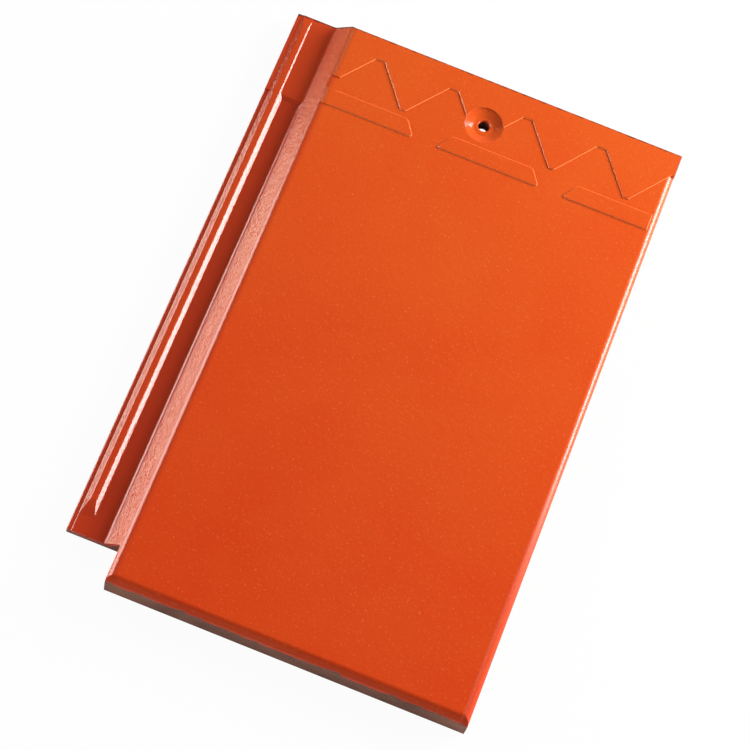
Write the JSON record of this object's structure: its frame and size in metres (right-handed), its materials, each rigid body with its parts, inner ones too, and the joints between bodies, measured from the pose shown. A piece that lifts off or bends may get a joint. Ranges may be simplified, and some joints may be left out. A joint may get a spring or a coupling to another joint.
{
  "type": "flat interlocking roof tile",
  "caption": "Flat interlocking clay roof tile, glazed orange: side water channel, deep nose, raised weather teeth and bars at the head, dished nail hole and hanging nibs.",
  "frame": {"origin": "on the floor, under the middle of the tile's bounding box: the floor is the plane of the nose's foot and of the two nibs", "axes": "+X across the tile from the side lock to the cover lip, +Y up the roof from the nose to the head, +Z out of the glazed weather face"},
  "size_m": [0.26, 0.4, 0.0207],
  "materials": {
    "orange_glaze": "glossy orange glaze with fine orange peel on the weather side, bare brown fired clay on the foot of the nose and on the underside"
  },
  "bodies": {
    "root": {"roof_tile": "orange_glaze"}
  },
  "joints": []
}
